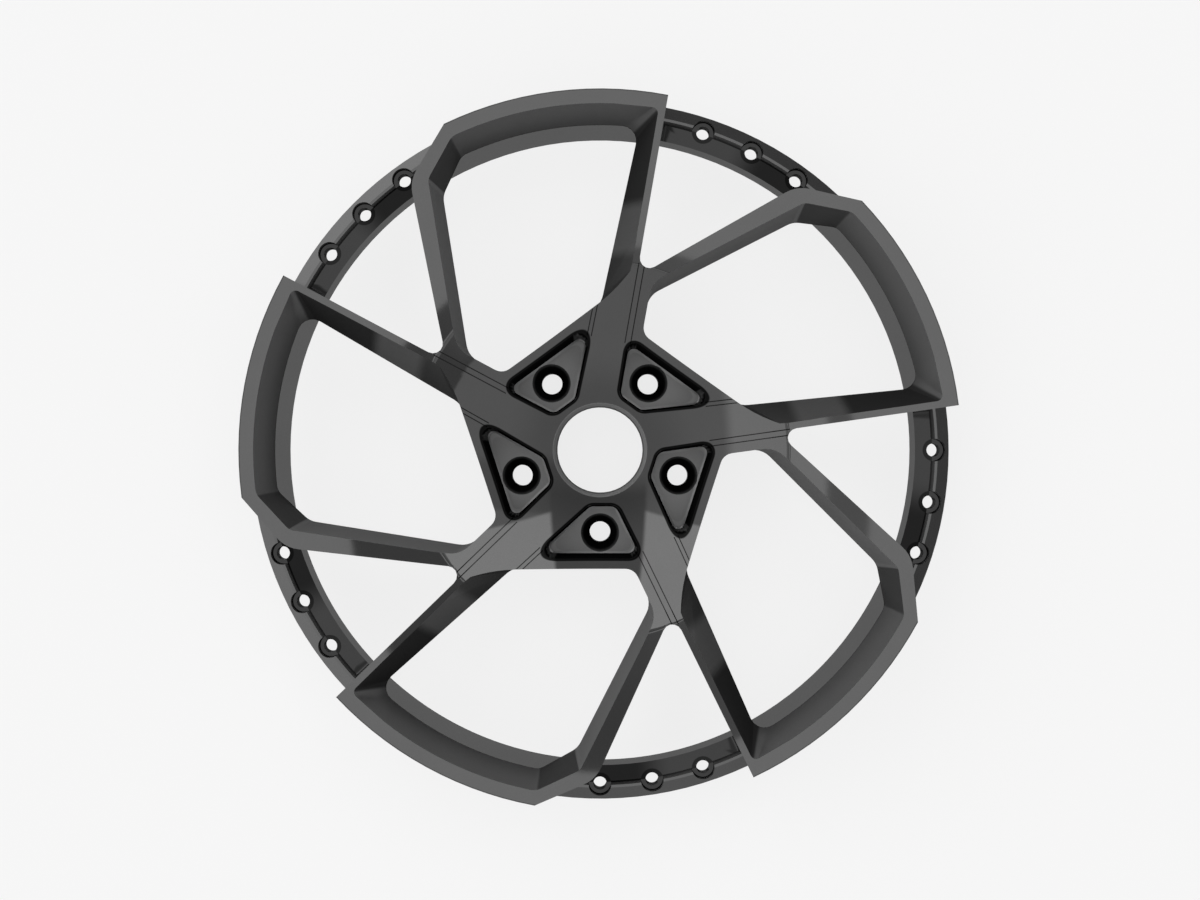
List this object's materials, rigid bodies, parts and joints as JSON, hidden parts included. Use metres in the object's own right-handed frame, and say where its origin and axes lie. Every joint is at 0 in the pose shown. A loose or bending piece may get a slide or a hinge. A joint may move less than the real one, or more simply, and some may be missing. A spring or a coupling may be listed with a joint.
{
  "type": "split rim wheel centre",
  "caption": "One-piece centre of a split rim wheel with open swept petals on split stems, a pentagonal hub with pocketed lug seats, and a drilled ring for the rim halves.",
  "frame": {"origin": "on the axis, at the rear mounting face of the hub, which is the lowest plane", "axes": "+Z along the wheel's axis out of its face, +Y along the middle of one stem; the wheel lies on its hub pad with the face up"},
  "size_m": [0.4782, 0.4782, 0.0754],
  "materials": {
    "wheel_centre": "forged aluminium under dark anthracite satin paint"
  },
  "bodies": {
    "root": {"wheel_centre": "wheel_centre"}
  },
  "joints": []
}
